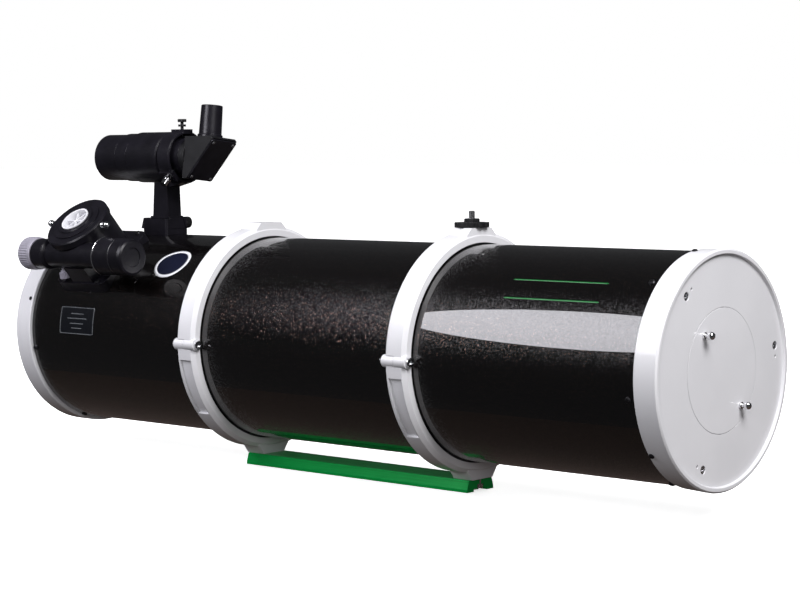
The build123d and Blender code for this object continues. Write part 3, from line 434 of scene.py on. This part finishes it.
def pinstripes():
    """Two fine green lines on the rear part of the tube."""
    green = printed("stripe_green", (0.004, 0.13, 0.024), (0.008, 0.18, 0.035), 0.35)
    outline = rounded_loop(STRIPE_HALF_LENGTH, 0.7, 0.5)
    spine = [(along * 0.995, 0.0) for along, _ in outline]
    loops = [(outline, 0.0), (outline, LABEL_LIFT), (spine, LABEL_LIFT)]
    for index, place in enumerate(STRIPE_PLACES):
        label(f"pinstripe_{index + 1}", *place, loops, False, green, "green_anodised")


info_plate()
oval_badge()
pinstripes()


# ---- bright trim on the coarse focusing knob -----------------------------------------------
KNOB_STEPS = 72
SHAFT_MIDDLE_X = -349.0
KNOB_EDGE = [(21.75, 57.9), (22.05, 58.1), (22.05, 59.4), (21.75, 59.6)]
KNOB_LINE = [(20.5, 85.6), (20.95, 85.7), (20.95, 86.1), (20.5, 86.2)]


def turned_trim(name, profile, material):
    """Thin ring round the focusing shaft, from (radius, distance along X from its middle)."""
    low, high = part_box("coarse_shaft")
    middle = (low + high) / 2
    base = Vector((SHAFT_MIDDLE_X * MM, middle.y, middle.z))
    vertices = []
    for step in range(KNOB_STEPS):
        turn = 2 * pi * step / KNOB_STEPS
        for radius, along in profile:
            vertices.append(base + Vector((along, radius * cos(turn), radius * sin(turn))) * MM)
    count = len(profile)
    faces = []
    for step in range(KNOB_STEPS):
        after = (step + 1) % KNOB_STEPS
        for index in range(count):
            beside = (index + 1) % count
            faces.append((step * count + index, step * count + beside,
                          after * count + beside, after * count + index))
    add_piece(name, vertices, faces, material, "coarse_focus")


trim_metal = turned_steel("knob_edge_metal", (0.78, 0.77, 0.80), 0.14, 0.26)
turned_trim("coarse_knob_edge", KNOB_EDGE, trim_metal)
turned_trim("coarse_knob_line", KNOB_LINE, trim_metal)


# ---- studio --------------------------------------------------------------------------------
AIM = (0.0, 0.0, 0.15)
WHITE = (1.0, 1.0, 1.0)


def plane(name, size_x, size_y, place, material):
    half_x, half_y = size_x / 2, size_y / 2
    mesh = bpy.data.meshes.new(name)
    corners = [(-half_x, -half_y, 0), (half_x, -half_y, 0), (half_x, half_y, 0), (-half_x, half_y, 0)]
    mesh.from_pydata(corners, [], [(0, 1, 2, 3)])
    mesh.materials.append(material)
    card = bpy.data.objects.new(name, mesh)
    card.location = place
    bpy.context.scene.collection.objects.link(card)
    return card


def plain(name, colour, glow, glow_strength):
    material = bpy.data.materials.new(name)
    material.use_nodes = True
    shader = material.node_tree.nodes["Principled BSDF"]
    shader.inputs["Base Color"].default_value = (*colour, 1)
    shader.inputs["Roughness"].default_value = 1.0
    shader.inputs["Specular IOR Level"].default_value = 0.0
    shader.inputs["Emission Color"].default_value = (*glow, 1)
    shader.inputs["Emission Strength"].default_value = glow_strength
    return material


def area_light(name, place, target, size, power, colour=WHITE, glossy=True, shape="RECTANGLE"):
    """Soft light; one that isn't glossy makes no reflection of its own."""
    light = bpy.data.lights.new(name, "AREA")
    light.shape = shape
    light.size, light.size_y = size
    light.energy = power
    light.color = colour
    lamp = bpy.data.objects.new(name, light)
    lamp.location = place
    lamp.rotation_mode = "QUATERNION"
    lamp.rotation_quaternion = (Vector(target) - Vector(place)).to_track_quat("-Z", "Y")
    lamp.visible_glossy = glossy
    bpy.context.scene.collection.objects.link(lamp)


def floor_and_card():
    """Glowing pale floor that only the camera sees, and a dim warm card that only the object sees."""
    floor = plane("floor", 60, 60, (0, 0, 0), plain("pale_floor", (0.9, 0.9, 0.9), WHITE, 0.7))
    floor.visible_diffuse = False
    floor.visible_glossy = False
    floor.visible_transmission = False
    warm = plain("card", (0.1, 0.08, 0.07), (0.55, 0.42, 0.38), 0.09)
    card = plane("bounce_card", 2.2, 1.6, (0, 0.62, -0.02), warm)
    card.visible_camera = False
    return floor


def air():
    """White background for the camera, and dim cool air for the object."""
    world = bpy.data.worlds.new("studio_air")
    bpy.context.scene.world = world
    world.use_nodes = True
    nodes = world.node_tree.nodes
    dim = nodes["Background"]
    dim.inputs["Color"].default_value = (0.93, 0.95, 1.0, 1)
    dim.inputs["Strength"].default_value = 0.05
    white = nodes.new("ShaderNodeBackground")
    white.inputs["Color"].default_value = (*WHITE, 1)
    white.inputs["Strength"].default_value = 1.0
    path = nodes.new("ShaderNodeLightPath")
    choice = nodes.new("ShaderNodeMixShader")
    links = world.node_tree.links
    links.new(path.outputs["Is Camera Ray"], choice.inputs["Fac"])
    links.new(dim.outputs["Background"], choice.inputs[1])
    links.new(white.outputs["Background"], choice.inputs[2])
    links.new(choice.outputs["Shader"], nodes["World Output"].inputs["Surface"])


def lights():
    """One soft key that draws a band on the tube, an end light, and fills."""
    area_light("key_softbox", (-0.50, -1.02, 0.87), (-0.50, 0.0, 0.147), (0.66, 0.84), 11.0,
               (0.95, 0.94, 1.0), shape="ELLIPSE")
    area_light("top_fill", (0.2, -0.3, 2.4), (0.0, 0.0, 0.2), (2.4, 1.6), 28,
               (0.98, 0.98, 1.0), glossy=False)
    area_light("end_light", (1.5, -0.5, 1.5), (0.46, 0.0, 0.15), (1.0, 0.8), 42, (1.0, 0.99, 1.0))
    area_light("back_fill", (-0.7, 2.3, 0.9), AIM, (1.6, 1.0), 24, glossy=False)
    area_light("camera_fill", (1.6, -2.2, 0.9), AIM, (1.6, 1.2), 21, (1.0, 0.99, 1.0), glossy=False)


def floor_sun(floor):
    """Very soft sun that lights the floor alone, so that its shadow stays faint."""
    sun = bpy.data.lights.new("floor_sun", "SUN")
    sun.energy = 2.0
    sun.angle = radians(70)
    lamp = bpy.data.objects.new("floor_sun", sun)
    bpy.context.scene.collection.objects.link(lamp)
    lit = bpy.data.collections.new("lit_by_sun")
    bpy.context.scene.collection.children.link(lit)
    lit.objects.link(floor)
    lamp.light_linking.receiver_collection = lit


pale_floor = floor_and_card()
air()
lights()
floor_sun(pale_floor)
bpy.context.scene.view_settings.view_transform = "Standard"


# ---- camera --------------------------------------------------------------------------------
CAMERA_PLACE = (1517.9, -1685.5, 362.4)
CAMERA_AZIMUTH = 40.99
CAMERA_ELEVATION = 4.218
CAMERA_ROLL = -0.435
CAMERA_LENS = 92.64


def camera():
    data = bpy.data.cameras.new("camera")
    data.lens = CAMERA_LENS
    data.sensor_width = 36.0
    data.clip_start = 0.05
    data.clip_end = 100
    view = bpy.data.objects.new("camera", data)
    turn = Matrix.Rotation(radians(CAMERA_AZIMUTH), 4, "Z")
    tip = Matrix.Rotation(radians(90 - CAMERA_ELEVATION), 4, "X")
    roll = Matrix.Rotation(radians(CAMERA_ROLL), 4, "Z")
    view.matrix_world = Matrix.Translation(Vector(CAMERA_PLACE) * MM) @ turn @ tip @ roll
    bpy.context.scene.collection.objects.link(view)
    bpy.context.scene.camera = view


camera()
